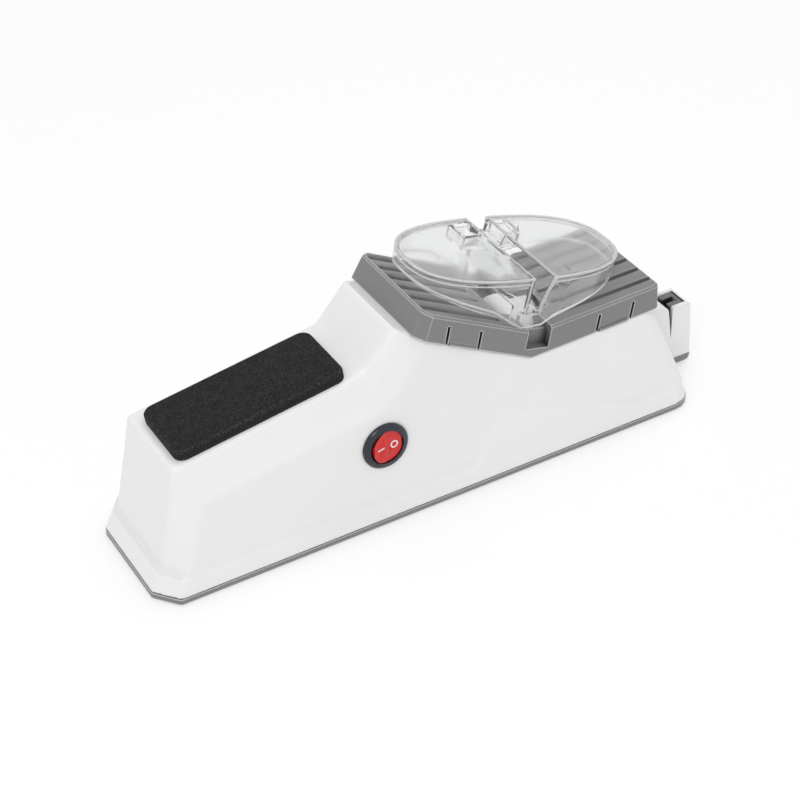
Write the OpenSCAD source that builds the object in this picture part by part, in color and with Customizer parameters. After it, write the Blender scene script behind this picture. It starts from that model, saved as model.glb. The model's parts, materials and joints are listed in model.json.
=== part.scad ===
// Electric knife sharpener: a drafted housing on a flat base, with a padded handle at the left,
// a tilted V-shaped guide cap over a motor-driven grinding wheel, a clear slotted dust cover
// and a small hand sharpener on the right end. Millimetres, +Z up, +X towards the hand sharpener.

/* [Body] */
// Length of the base plate
body_l = 236; // [225:1:250]
// Width of the base plate
body_w = 58; // [56:0.5:62]
// Thickness of the base plate
base_t = 2.3; // [2:0.1:3]
// Wall thickness of the mouldings
wall_t = 2.2; // [1.8:0.1:2.6]
// Height of the skirt's top edge above the table
skirt_h = 10; // [9:0.5:12]
// Height of the handle's top face at its left end
handle_h = 52.6; // [48:0.2:56]

/* [Head] */
// Distance of the V valley from the right end of the base
valley_in = 76.2; // [74:0.2:79]
// Height of the V valley above the table
valley_z = 60.2; // [58:0.1:62]
// Lean of the head towards the right, in degrees
head_tilt = 13.4; // [12.6:0.2:14.2]
// Slope of each side of the V, in degrees
vee_slope = 14.6; // [14:0.2:15.4]
// Reach of the cap's lower edge from the valley to its left end
cap_left_l = 55; // [54:0.2:56]
// Reach of the cap's lower edge from the valley to its right end
cap_right_l = 57.6; // [56.6:0.2:58.6]
// Depth of the cap's skirt
cap_skirt_h = 10.6; // [10:0.1:11.2]

/* [Grinding wheel and motor] */
// Diameter of the grinding wheel
wheel_d = 26.4; // [25:0.2:27.4]
// Width of the grinding wheel
wheel_w = 18; // [16:0.5:19]
// Diameter of the motor's can
motor_d = 24.4; // [22:0.2:26]
// Length of the motor's can
motor_l = 30.8; // [28:0.2:32]
// Diameter of the motor's shaft
shaft_d = 2.3; // [2:0.1:3]

/* [Dust cover] */
// Height of the cover's flat top above the valley
cover_h = 23.3; // [22:0.1:25]
// Half the length of the cover
cover_half_l = 46; // [44:0.2:47.5]
// Half the width of the cover
cover_half_w = 23.6; // [22.5:0.1:24]
// Wall thickness of the cover
cover_t = 1.6; // [1.2:0.1:2]
// Width of the cover's slot at its top
slot_w = 9.1; // [8:0.1:10]

/* [Switch] */
// Diameter of the switch's round bezel
bezel_d = 18.6; // [18:0.2:20]
// Diameter of the panel hole behind the bezel
switch_hole_d = 16.4; // [16:0.1:17]
// Throw of the rocker between its two positions, in degrees
rocker_throw = 14; // [10:1:16]

/* [Hand sharpener] */
// Reach of the hand sharpener past the end of the base plate
hand_reach = 14.6; // [12:0.2:17]
// Height of the hand sharpener's top above the table
hand_top = 31.4; // [29:0.2:33]
// Width of the hand sharpener, front to back
hand_w = 11.6; // [10:0.2:13]

/* [Hidden] */

// Smoothness of drilled and turned shapes
$fn = 48;
// Overrun of every cut past the face that it starts from
over = 0.5;
// Gap between mouldings that slip into each other
slip = 0.25;
// Radial play of a shaft in its bearing
shaft_play = 0.04;
// Points on each rounded corner of an outline
arc_n = 5;

// Colours of the mouldings
white = [0.93, 0.93, 0.93];
grey = [0.5, 0.5, 0.5];
dark = [0.12, 0.12, 0.13];
steel = [0.72, 0.73, 0.75];
brass = [0.8, 0.66, 0.35];
red = [0.75, 0.06, 0.05];
wire_red = [0.6, 0.1, 0.1];
ceramic = [0.9, 0.88, 0.82];
clear = [0.8, 0.85, 0.87, 0.35];

// Feet and base
foot_proud = 0.5;
foot_d = 10;
foot_t = 1.5;
foot_in_x = 18;
foot_in_y = 10.5;
base_z = foot_proud;
base_top = foot_proud + base_t;
corner_x = 7.4;
corner_y = 9;
corner_r = 2.5;
end_r = 9.5;
lip_h = 3;
lip_t = 1.5;
skirt_more = 0.6;
half_w = body_w / 2;
valley_x = body_l - valley_in;

// Skirt and walls of the housing
skirt_in_x = 3.3;
skirt_in_y = 1;
ledge = 1.4;
ledge_y = 0.8;
wall_draft_share = 0.068;
left_lean = 7.8;
left_half = 19.5;
wall_corner = 6.3;
wall_half = half_w - skirt_in_y - ledge_y;
wall_x0 = skirt_in_x + ledge;

// Handle
handle_slope_share = 0.155;
handle_top_half = 18.3;
crease_drop = 15;
crease_x = 7.4;
crease_in = 0.7;
top_corner = 1.8;
top_more = 0.3;
handle_to_valley = 47.8;
handle_end = valley_x - handle_to_valley;
edge_r = 1.4;

// Head block
rise_to_valley = 70.6;
rise_x = valley_x - rise_to_valley;
rise_slope_share = 1.17;
band_l = 17.6;
end_slope_share = 0.46;
head_over = 21.8;
head_top_z = valley_z + head_over;
end_in = 21;
end_z = 52;
fillet_r = 16;
flare_to_valley = 31.8;
flare_run = 15.5;
flare_z = 30.5;
flare_low_in = 28;
flare_end_in = 8;
flare_drop = 1.5;
flare_t = 3;
flare_tuck = 0.15;
flare_proud = 0.4;

// Directions and places in the head's own frame, whose origin is on the valley line
vee_share = tan(vee_slope);
cap_top_in = 2.3;
cap_t = 2;
cap_left_half = 21.8;
cap_mid_half = 24.7;
cap_right_half = 24.4;
cap_draft = 0.7;
cap_corner = 4.4;
cap_corner_r = 1.2;
cap_end_r = 2.5;
ridge_n = 6;
ridge_h = 1;
ridge_gap = 0.5;
ridge_end = 1.2;
groove_in = 15;
groove_side = 2.2;
groove_pitch = 7.4;
groove_y0 = -17.2;
notch_x0 = -3.7;
notch_x1 = 6.7;
notch_z = -6.7;
trough_t = 1.4;
window_gap = 1.8;
window_left_gap = 7;
window_x1 = 12.6;
window_half = 11;
recess_deep = 3.8;
recess_wall = 1;
recess_low = 0.4;
tab_x = 35;
tab_shift = 1.2;
tab_w = 15.1;
tab_slit = 1.1;
tab_cut = 8;
tab_rise = 7.4;
tab_hook = 1.2;
tab_proud = 0.5;
mouth_right_in = 10.8;

// Wheel and drive, along the head's x direction
wheel_x = 6;
axis_z = -11.5;
wheel_l = wheel_x - wheel_w / 2;
wheel_r = wheel_x + wheel_w / 2;
wheel_bore = 8;
wheel_round = 4.5;
crown = 0.4;
arbor_flange_d = 14;
arbor_flange_t = 2;
arbor_nose = 3.2;
washer_d = 13;
washer_t = 1.2;
nut_af = 7;
nut_t = 3.4;
thread_d = 5;
can_t = 1;
motor_x1 = -13.5;
motor_x0 = motor_x1 - motor_l;
boss_d = 6.2;
boss_l = 1.6;
bush_d = 5;
bush_l = 3.2;
end_cap_t = 4.2;
end_boss_d = 8;
end_boss_l = 2;
arbor_grip = 9;
spigot_l = 1.5;
terminal_y = 7;
terminal_w = 3;
terminal_t = 0.6;
terminal_out = 5;
brush_gap = 0.4;
brush_w = 2;
armature_slots = 5;
slot_gap = 1.6;
slot_deep = 2;
chamber_t = 1.4;
saddle_in = 6.3;
saddle_x = [motor_x0 + saddle_in, motor_x1 - saddle_in];
strap_hole_y = 15.3;
strap_screw_l = 8;
armature_d = 14.6;
armature_l = 15;
armature_x = motor_x1 - can_t - bush_l - armature_l / 2;
magnet_t = 3;
magnet_arc = 130;
magnet_l = 17;
commutator_d = 6;
commutator_l = 5;
screw_pitch = 16;
m2_d = 2;
m2_head_d = 3.8;
m2_head_t = 1.5;
cradle_t = 4;
cradle_half = 17.4;
strap_w = 8;
strap_t = 1.2;
ear_t = 1.6;

// Dust cover
cover_x = -3.2;
cover_power = 2.6;
cover_n = 56;
slot_x0 = -6.7;
slot_low_w = 5.5;
slot_neck_z = 12;
slot_bottom_z = 8;
rim_gap = 4.2;
rim_more_share = 0.02;
nose_z = 2.5;
vent_w = 7.4;
vent_l = 9.2;
vent_y = 10.8;
vent_drop = 5.4;
rib_t = 1;
leg_x = 11;
leg_y = 17.6;
leg_l = 4;
leg_gap = 0.3;
rim_bead = 0.7;
bead_h = 1.2;

// Foam pad
pad_x0 = 15.7;
pad_to_rise = 5.2;
pad_x1 = rise_x - pad_to_rise;
pad_half = 14.9;
pad_t = 2.9;
pad_edge = 0.9;
pad_r = 4;

// Switch
switch_to_valley = 66.3;
switch_x = valley_x - switch_to_valley;
switch_z = 35.4;
bezel_t = 1.8;
barrel_l = 13;
rocker_half = 6.5;
rocker_play = 0.35;
rocker_depth = 6;
rocker_rise = 2.3;
rocker_pin_d = 2;
rocker_pin_l = 0.6;
pocket_z = -7.4;
pivot_z = -0.6;
snap_proud = 0.6;
snap_w = 4;
pin_end_gap = 0.15;
mark_deep = 0.2;
mark_w = 0.6;
mark_l = 3.2;
mark_share = 0.46;
tab_blade_w = 4.8;
tab_blade_t = 0.8;
tab_blade_l = 7;
tab_blade_pitch = 7;

// Power inlet on the back wall
jack_x = 58;
jack_z = 20;
jack_d = 11;
jack_nose_d = 8;
jack_bore_d = 5.6;
jack_pin_d = 2;
jack_l = 14;
jack_flange_t = 1.4;

// Wires
wire_d = 1.6;
wire_z = 14;

// Screws through the base
screw_d = 2.9;
screw_l = 14;
screw_head_d = 5.6;
screw_head_t = 1.8;
post_d = 6.6;
pilot_d = screw_d + shaft_play * 2;
screw_x = 28;
screw_in_y = 12;
mid_screw_to_valley = 47.8;
mid_screw_in_y = 8.1;
end_screw_in = 30;
screw_spots = [
    [screw_x, half_w - screw_in_y],
    [valley_x - mid_screw_to_valley, half_w - mid_screw_in_y],
    [body_l - end_screw_in, half_w - screw_in_y]
];

// Hand sharpener
hand_x1 = body_l + hand_reach;
hand_lean = 2.4;
hand_bottom = 2;
hand_base_t = 3.6;
hand_shoulder = 6;
hand_corner_r = 3;
groove_out = 2.4;
groove_x = body_l + groove_out;
groove_w = 3.8;
groove_lean = 1.4;
groove_apex_z = 16;
hand_wall = 1.4;
hand_gap = 0.3;
hand_recess = 0.4;
hand_rim = 3.2;
blade_t = 1.2;
blade_w = 3;
blade_l = 12;
blade_angle = 24;
blade_z = 17;
blade_pocket_w = 9;
blade_drop = 5.5;
hand_screw_d = 2.5;
hand_pilot_d = hand_screw_d + shaft_play * 2;
hand_screw_y = 2.6;
hand_screw_z = 24;
hand_screw_l = 9;
hand_seat_x = end_at(hand_screw_z + m2_head_d) - wall_t * 1.6;

// Turns the plan points of a part so that the part is centred over the origin
module place() {
    translate([-(body_l + hand_reach) / 2, 0, 0]) children();
}

// The head's own frame: origin on the valley line, x down the lean, z square to the cover's top
module head() {
    place() translate([valley_x, 0, valley_z]) rotate([0, head_tilt, 0]) children();
}

// The switch's frame: origin on the front wall, z out of the wall
module switch_frame() {
    place() translate([switch_x, -wall_y(switch_z), switch_z])
        rotate([90 - atan(wall_draft_share), 0, 0]) children();
}

// Along the head's x direction: a cylinder from x0 to x1
module rod(d, x0, x1, z = 0) {
    translate([x0, 0, z]) rotate([0, 90, 0]) cylinder(d = d, h = x1 - x0);
}

module tube(d, bore, x0, x1, z = 0) {
    difference() {
        rod(d, x0, x1, z);
        rod(bore, x0 - over, x1 + over, z);
    }
}

// A profile in the x-z plane, extruded evenly to both sides of y = 0
module across(width) {
    rotate([90, 0, 0]) linear_extrude(width, center = true) children();
}

function unit(v) = v / norm(v);

// Points of one rounded corner at c, between p and q
function corner_arc(p, c, q, r) =
    r == 0 ? [c] : let (
        a = unit(p - c),
        b = unit(q - c),
        half = acos(a * b) / 2,
        m = c + unit(a + b) * (r / sin(half)),
        s = c + a * (r / tan(half)) - m,
        t = c + b * (r / tan(half)) - m,
        start = atan2(s.y, s.x),
        turn = (atan2(t.y, t.x) - start + 360 + 180) % 360 - 180
    )
    [for (i = [0:arc_n]) m + r * [cos(start + turn * i / arc_n), sin(start + turn * i / arc_n)]];

// A polygon whose corners are rounded, each with its own radius
function rounded(points, radii) =
    let (n = len(points))
    [
        for (i = [0:n - 1])
            each corner_arc(points[(i + n - 1) % n], points[i], points[(i + 1) % n], radii[i])
    ];

// A solid through rings of equal point counts, lowest ring first, each ring anticlockwise from above
module loft(rings) {
    n = len(rings[0]);
    points = [for (ring = rings) each ring];
    sides = [
        for (k = [0:len(rings) - 2], i = [0:n - 1]) each [
            [k * n + i, (k + 1) * n + i, k * n + (i + 1) % n],
            [k * n + (i + 1) % n, (k + 1) * n + i, (k + 1) * n + (i + 1) % n]
        ]
    ];
    floor_face = [for (i = [0:n - 1]) i];
    top_face = [for (i = [0:n - 1]) (len(rings) - 1) * n + n - 1 - i];
    polyhedron(points, concat([floor_face], sides, [top_face]));
}

// Lifts a plan outline to the plane z = z0 + share * (x - x0)
function lifted(points, z0, share = 0, x0 = 0) = [for (p = points) [p.x, p.y, z0 + share * (p.x - x0)]];

// Half the width of the front and back walls at height z
function wall_y(z) = wall_half - wall_draft_share * (z - skirt_h);

// Plan outline of the base, drawn in by dx at both ends and dy at the sides
function base_outline(dx, dy) = rounded(
    [
        [dx, -half_w + corner_y + dy * 0.4], [corner_x + dx * 0.6, -half_w + dy],
        [body_l - dx, -half_w + dy], [body_l - dx, half_w - dy],
        [corner_x + dx * 0.6, half_w - dy], [dx, half_w - corner_y - dy * 0.4]
    ],
    [corner_r, corner_r, end_r, end_r, corner_r, corner_r]
);

// A six-sided outline with cut left corners, mirrored about y = 0.
// Its half width is half0 at the left end, half at the cut and half1 at the right end.
function cut_outline(x0, half0, x_cut, half, x1, half1, r0, r1) = rounded(
    [[x0, -half0], [x_cut, -half], [x1, -half1], [x1, half1], [x_cut, half], [x0, half0]],
    [r0, r0, r1, r1, r0, r0]
);

function handle_z(x) = handle_h + handle_slope_share * (x - wall_x0 - left_lean);
function left_wall_x(z) = wall_x0 + left_lean * (z - skirt_h) / (handle_h - skirt_h);
function rise_at(z) = rise_x + (z - handle_z(rise_x)) / rise_slope_share;
function end_at(z) = body_l - end_in + end_slope_share * (end_z - z);

// The handle: end wall, walls up to the crease, and the sloped band up to the top face
module handle_block(t) {
    low = skirt_h - ledge;
    x_left = wall_x0 + left_lean;
    x_crease = x_left + crease_x;
    crease_z = handle_z(x_crease) - crease_drop;
    crease_end_z = crease_z + handle_slope_share * (handle_end - x_crease);
    half = handle_top_half - t * 0.8;
    x_cut = x_left + top_corner + t;
    low_ring = cut_outline(
        wall_x0 + t, left_half - t * 0.6, wall_x0 + wall_corner + t * 0.5, wall_y(low) - t,
        handle_end, wall_y(low) - t, corner_r, corner_r
    );
    crease_ring = cut_outline(
        left_wall_x(crease_z) + t, left_half - crease_in - t * 0.6, x_crease + t * 0.5, wall_y(crease_z) - t,
        handle_end, wall_y(crease_end_z) - t, corner_r, corner_r
    );
    edge_ring = cut_outline(
        x_left + t, half, x_cut, half + top_more,
        handle_end, half + top_more, corner_r / 3, corner_r
    );
    top_ring = cut_outline(
        x_left + edge_r + t, half - edge_r, x_cut + edge_r, half + top_more - edge_r,
        handle_end - edge_r, half + top_more - edge_r, corner_r / 3, corner_r
    );
    loft([
        lifted(low_ring, low),
        lifted(crease_ring, crease_z, handle_slope_share, x_crease),
        lifted(edge_ring, handle_z(x_left) - edge_r / 2 - t * 0.9, handle_slope_share, x_left),
        lifted(top_ring, handle_z(x_left) - t, handle_slope_share, x_left)
    ]);
}

// The head: the rise at its left, drafted walls, and the leaning end wall
module head_block(t) {
    low = skirt_h - ledge;
    function ring(z) = cut_outline(
        rise_at(z) + t * 1.3, handle_top_half - t * 0.5, rise_at(z) + band_l + t * 0.6, wall_y(z) - t,
        end_at(z) - t, wall_y(z) - t, corner_r, end_r * (z == low ? 0.9 : 0.6) - t
    );
    loft([
        for (z = [low, head_top_z])
            lifted(ring(z), z)
    ]);
}

// Everything above the cap's lower edge, as a cutter
module above_cap(lift = 0) {
    z0 = -cap_skirt_h + lift;
    far = cap_left_l * 2;
    far_z = z0 + far * vee_share;
    translate([valley_x, 0, valley_z]) rotate([0, head_tilt, 0]) across(body_w * 2)
        polygon([[0, z0], [far, far_z], [far, far], [-far, far], [-far, far_z]]);
}

module below_cap(drop) {
    difference() {
        translate([0, -half_w, 0]) cube([body_l, body_w, body_l]);
        above_cap(-drop);
    }
}

module skirt_block(dx, dy, z0) {
    loft([
        lifted(base_outline(dx, dy), z0),
        lifted(base_outline(dx + skirt_in_x, dy + skirt_in_y), skirt_h)
    ]);
}

// The flare of the lower wall under the head, on the front
module flare() {
    x0 = valley_x - flare_to_valley;
    y0 = half_w - flare_tuck;
    y1 = wall_y(flare_z) + flare_proud;
    rise = norm([flare_z - base_top, y0 - y1]);
    low = skirt_h - base_top;
    difference() {
        translate([0, -y0, base_top]) rotate([90 - atan((y0 - y1) / (flare_z - base_top)), 0, 0])
            translate([0, 0, -flare_t]) linear_extrude(flare_t) polygon([
                [x0, 0], [x0 + flare_run, rise], [body_l - flare_low_in, low],
                [body_l - flare_end_in, low - flare_drop], [body_l - flare_end_in, 0]
            ]);
        translate([0, -body_w, 0]) cube([body_l, body_w * 2, base_top]);
    }
}

// The concave blend at the foot of the rise
module rise_fillet() {
    foot = [rise_x, handle_z(rise_x)];
    a = unit([-1, -handle_slope_share]);
    b = unit([1, rise_slope_share]);
    half = acos(a * b) / 2;
    centre = foot + unit(a + b) * (fillet_r / sin(half));
    s = foot + a * (fillet_r / tan(half));
    t = foot + b * (fillet_r / tan(half));
    across((handle_top_half - edge_r) * 2) difference() {
        polygon([s, t, foot + [edge_r, -edge_r] * 3]);
        translate(centre) circle(fillet_r, $fn = 96);
    }
}

// A cylinder over each base screw, front and back
module posts(d, z0, z1) {
    for (spot = screw_spots, side = [-1, 1])
        translate([spot.x, side * spot.y, z0]) cylinder(d = d, h = z1 - z0);
}

// The mouth under the cap, that the wheel, its chamber and the motor reach into
module mouth() {
    half = wheel_d / 2 + window_gap + chamber_t + slip;
    x0 = motor_x0 - end_cap_t - window_gap;
    translate([valley_x, 0, valley_z]) rotate([0, head_tilt, 0])
        translate([x0, -half, -cap_skirt_h - wall_t * 1.5])
            cube([cap_right_l - mouth_right_in - x0, half * 2, body_w]);
}

module upper_housing() {
    color(white) place() difference() {
        union() {
            difference() {
                union() {
                    skirt_block(0, 0, base_top);
                    handle_block(0);
                    difference() {
                        head_block(0);
                        above_cap();
                    }
                    rise_fillet();
                    flare();
                    mirror([0, 1, 0]) flare();
                }
                translate([0, 0, -over]) skirt_block(wall_t + skirt_more, wall_t, base_top - over);
                handle_block(wall_t);
                difference() {
                    head_block(wall_t);
                    above_cap(-wall_t);
                }
            }
            intersection() {
                union() {
                    posts(post_d, base_top + slip, handle_h * 1.6);
                    for (side = [-1, 1]) translate([hand_seat_x, side * hand_screw_y, hand_screw_z])
                        rotate([0, 90, 0]) cylinder(d = post_d * 0.8, h = body_w);
                }
                union() {
                    handle_block(wall_t / 2);
                    head_block(wall_t / 2);
                }
                union() {
                    translate([0, -half_w, 0]) cube([rise_x, body_w, body_l]);
                    below_cap(wall_t / 2);
                }
            }
        }
        posts(pilot_d, 0, base_z + screw_head_t + screw_l + over);
        hand_screw_axes(hand_screw_d + slip, -over);
        mouth();
        // Panel hole of the switch
        translate([switch_x, -wall_y(switch_z), switch_z]) rotate([90 - atan(wall_draft_share), 0, 0])
            cylinder(d = switch_hole_d, h = wall_t * 4, center = true);
        // Hole of the power inlet
        translate([jack_x, wall_y(jack_z), jack_z]) rotate([90, 0, 0])
            cylinder(d = jack_nose_d + slip, h = wall_t * 4, center = true);
    }
}

module base_plate() {
    // How far the skirt's inside has drawn in at the lip's top
    drawn_share = (lip_h + over * 2) / (skirt_h - base_top + over);
    in_x = wall_t + skirt_more + skirt_in_x * drawn_share + slip;
    in_y = wall_t + skirt_in_y * drawn_share + slip;
    color(grey) place() difference() {
        union() {
            translate([0, 0, base_z]) linear_extrude(base_t) polygon(base_outline(0, 0));
            translate([0, 0, base_top]) linear_extrude(lip_h) difference() {
                polygon(base_outline(in_x, in_y));
                polygon(base_outline(in_x + lip_t, in_y + lip_t));
            }
        }
        for (spot = screw_spots, side = [-1, 1]) translate([spot.x, side * spot.y, 0]) {
            cylinder(d = screw_d + slip * 2, h = skirt_h);
            cylinder(d = screw_head_d + slip, h = base_z + screw_head_t);
        }
        for (x = [foot_in_x, body_l - foot_in_x], side = [-1, 1])
            translate([x, side * (half_w - foot_in_y), 0]) cylinder(d = foot_d, h = foot_t);
    }
}

module rubber_feet() {
    color(dark) place() for (x = [foot_in_x, body_l - foot_in_x], side = [-1, 1])
        translate([x, side * (half_w - foot_in_y), 0]) cylinder(d = foot_d, h = foot_t);
}

// Outline of the foam pad, drawn in by t
function pad_outline(t) = rounded(
    [
        [pad_x0 + t, -pad_half + t], [pad_x1 - t, -pad_half + t],
        [pad_x1 - t, pad_half - t], [pad_x0 + t, pad_half - t]
    ],
    [pad_r, pad_r, pad_r, pad_r]
);

// The foam pad lies on the handle's top face, in the handle's own slope
module grip_pad() {
    color(dark) place() translate([0, 0, handle_z(0)]) rotate([0, -atan(handle_slope_share), 0]) loft([
        lifted(pad_outline(0), 0),
        lifted(pad_outline(0), pad_t - pad_edge),
        lifted(pad_outline(pad_edge * 0.35), pad_t - pad_edge * 0.3),
        lifted(pad_outline(pad_edge), pad_t)
    ]);
}

// Plan of one half of the cap, on the side of x that the sign names, drawn in by in_x and in_y
function cap_plan(side, in_x, in_y) = side < 0
    ? rounded(
        [
            [0, cap_mid_half - in_y], [-cap_left_l + cap_corner + in_x / 2, cap_mid_half - in_y],
            [-cap_left_l + in_x, cap_left_half - in_y], [-cap_left_l + in_x, -cap_left_half + in_y],
            [-cap_left_l + cap_corner + in_x / 2, -cap_mid_half + in_y], [0, -cap_mid_half + in_y]
        ],
        [0, 0, cap_corner_r, cap_corner_r, 0, 0]
    )
    : rounded(
        [
            [0, -cap_mid_half + in_y], [cap_right_l - in_x, -cap_right_half + in_y],
            [cap_right_l - in_x, cap_right_half - in_y], [0, cap_mid_half - in_y]
        ],
        [0, cap_end_r, cap_end_r, 0]
    );

// The cap's V-shaped outer form between two heights above the valley line, drawn in by t
module cap_block(z_lo, z_hi, t, edge = 0) {
    for (side = [-1, 1]) loft([
        lifted(cap_plan(side, t, t), z_lo, side * vee_share),
        lifted(cap_plan(side, t + cap_top_in, t + cap_draft), z_hi - edge, side * vee_share),
        if (edge > 0)
            lifted(cap_plan(side, t + cap_top_in + edge, t + cap_draft + edge), z_hi, side * vee_share)
    ]);
}

// Grooves down both planes of the V, stopping short of the left edge
module grooves() {
    left_l = (cap_left_l - cap_top_in - ridge_end) / cos(vee_slope) - groove_in;
    for (side = [-1, 1], i = [0:ridge_n - 1])
        mirror([side < 0 ? 1 : 0, 0, 0]) rotate([0, -vee_slope, 0])
            translate([groove_in, groove_y0 + i * groove_pitch, 0]) rotate([90, 0, 90])
                linear_extrude(side < 0 ? left_l : cap_right_l) polygon([
                    [-groove_side, over], [-groove_side, 0], [0, -ridge_h], [ridge_gap, 0], [ridge_gap, over]
                ]);
}

// Slits beside the cap's snap tabs, front and back
module tab_slits() {
    for (side = [-1, 1], end = [-1, 1], x = [tab_mid(side) - tab_w / 2, tab_mid(side) + tab_w / 2])
        translate([x - tab_slit / 2, end * cap_mid_half, -cap_skirt_h + abs(x) * vee_share - over])
            translate([0, -tab_cut / 2, 0]) cube([tab_slit, tab_cut, tab_rise + over]);
}

function tab_mid(side) = side * tab_x + tab_shift;

// Hooks at the tabs' lower edges
module tab_hooks() {
    for (side = [-1, 1], end = [-1, 1]) {
        x = tab_mid(side);
        mirror([0, end > 0 ? 1 : 0, 0]) translate([x, -cap_mid_half, -cap_skirt_h + abs(x) * vee_share])
            rotate([0, 90 - side * vee_slope, 0]) linear_extrude(tab_w - tab_slit * 2, center = true)
                polygon([
                    [-tab_hook, cap_t], [-tab_hook, 0], [-tab_hook * 0.4, -tab_proud],
                    [0, -tab_proud * 0.6], [0, cap_t]
                ]);
    }
}

module guide_cap() {
    color(grey) head() difference() {
        union() {
            difference() {
                cap_block(-cap_skirt_h, 0, 0, edge_r * 0.6);
                cap_block(-cap_skirt_h - over, -cap_t, cap_t);
                grooves();
                tab_slits();
            }
            tab_hooks();
            // Channel that guides the blade, front to back
            intersection() {
                cap_block(-cap_skirt_h, -cap_t / 2, cap_t / 4);
                translate([notch_x0 - trough_t, -body_w / 2, notch_z - trough_t])
                    cube([notch_x1 - notch_x0 + trough_t * 2, body_w, -notch_z + trough_t]);
            }
        }
        blade_channel();
        wheel_window();
    }
}

// Channel under the knife slot, with low walls that leave a finger recess at each end
module blade_channel() {
    recess_y = cap_mid_half - recess_deep - recess_wall;
    difference() {
        translate([notch_x0, -body_w / 2, notch_z]) cube([notch_x1 - notch_x0, body_w, cover_h]);
        for (y = [-recess_y - recess_wall, recess_y]) translate([notch_x0 - over, y, notch_z - over])
            cube([notch_x1 - notch_x0 + over * 2, recess_wall, over - notch_z - recess_low]);
    }
}

// Opening in the vee that the wheel stands in
module wheel_window() {
    rod(wheel_d + window_gap * 2, wheel_l - window_gap, wheel_r + window_gap, axis_z);
    translate([wheel_l - window_left_gap, -window_half, axis_z])
        cube([window_x1 - wheel_l + window_left_gap, window_half * 2, cover_h]);
}

// Outline of the cover: a squarish oval, drawn in by t
function oval(t) = [
    for (i = [0:cover_n - 1]) let (a = 360 * (i + 0.5) / cover_n, c = cos(a), s = sin(a)) [
        cover_x + sign(c) * (cover_half_l - t) * pow(abs(c), 2 / cover_power),
        sign(s) * (cover_half_w - t) * pow(abs(s), 2 / cover_power)
    ]
];

module above_rim(gap) {
    z0 = gap;
    far = cover_half_l * 1.5;
    share = vee_share + rim_more_share;
    across(body_w * 2) polygon([
        [slot_x0 - cover_t, nose_z], [slot_x0 - slot_w, z0 + slot_w * vee_share], [-far, z0 + far * share],
        [-far, cover_h * 2], [far, cover_h * 2],
        [far, z0 + far * share], [slot_w * 0.8, z0 + slot_w * vee_share], [slot_x0 + slot_w - cover_t, nose_z]
    ]);
}

// Profile of the knife slot, seen from the front
module slot_profile(t, low) {
    x1 = slot_x0 + slot_w;
    x_low = slot_x0 + slot_low_w;
    polygon([
        [slot_x0 - t, low], [x_low + t, low], [x_low + t, slot_neck_z],
        [x1 + t, cover_h + over], [slot_x0 - t, cover_h + over]
    ]);
}

// Four legs carry the cover on the cap, beside the blade channel
module cover_legs() {
    for (side = [-1, 1], end = [-1, 1]) difference() {
        x0 = side < 0 ? slot_x0 - cover_t : leg_x;
        translate([x0, end * leg_y - leg_l / 2, -cap_skirt_h])
            cube([cover_t, leg_l, cover_h + cap_skirt_h - cover_t / 2]);
        across(body_w * 2) polygon([
            [0, leg_gap], [body_w, leg_gap + body_w * vee_share], [body_w, -body_w], [-body_w, -body_w],
            [-body_w, leg_gap + body_w * vee_share]
        ]);
    }
}

// Corner and size of the two windows beside the back of the slot
function vents() = [
    [[slot_x0 - cover_t - vent_w, vent_y, cover_h - vent_drop], [vent_w, vent_l, cover_h]],
    [[slot_x0 + slot_w + rib_t, vent_y, cover_h - vent_drop], [vent_w * 0.6, vent_l, cover_h]]
];

// Tubs under the windows, with the shelf where the slot widens at the back
module tubs() {
    for (box = vents()) translate(box[0] - rib_t * [1, 1, 1])
        cube([box[1].x + rib_t * 2, box[1].y + rib_t * 2, vent_drop]);
    translate([slot_x0 + slot_low_w, vent_y - rib_t, cover_h - vent_drop - rib_t])
        cube([slot_w - slot_low_w + rib_t, cover_half_w, rib_t]);
}

module dust_cover() {
    color(clear) head() difference() {
        union() {
            difference() {
                union() {
                    linear_extrude(cover_h - rim_bead) polygon(oval(0));
                    translate([0, 0, cover_h - bead_h]) linear_extrude(bead_h) polygon(oval(-rim_bead / 2));
                }
                translate([0, 0, -over]) linear_extrude(cover_h - cover_t + over) polygon(oval(cover_t));
            }
            intersection() {
                linear_extrude(cover_h) polygon(oval(cover_t / 2));
                union() {
                    across(body_w * 2) slot_profile(cover_t, slot_bottom_z);
                    tubs();
                }
            }
            cover_legs();
        }
        across(body_w * 2) slot_profile(0, slot_bottom_z - over);
        translate([slot_x0, vent_y - rib_t, cover_h - vent_drop]) cube([slot_w, body_w, cover_h]);
        difference() {
            translate([0, 0, cover_h / 2 - over]) cube([body_l, body_w * 2, cover_h + over], center = true);
            above_rim(rim_gap);
            cover_legs();
        }
        // Windows at the back of the slot
        for (box = vents()) translate(box[0]) cube(box[1]);
    }
}

// The grinding wheel: crowned, with rounded shoulders
module grinding_wheel() {
    w = wheel_w / 2;
    r = wheel_d / 2;
    rim = r - crown;
    edge = [
        for (i = [0:arc_n]) let (a = 90 * i / arc_n)
            [rim - wheel_round * (1 - sin(a)), w - wheel_round * (1 - cos(a))]
    ];
    color(white) head() translate([wheel_x, 0, axis_z]) rotate([0, 90, 0]) rotate_extrude($fn = 96)
        polygon([
            [wheel_bore / 2, w], each edge, [r, 0],
            for (i = [arc_n:-1:0]) [edge[i].x, -edge[i].y],
            [wheel_bore / 2, -w]
        ]);
}

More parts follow.
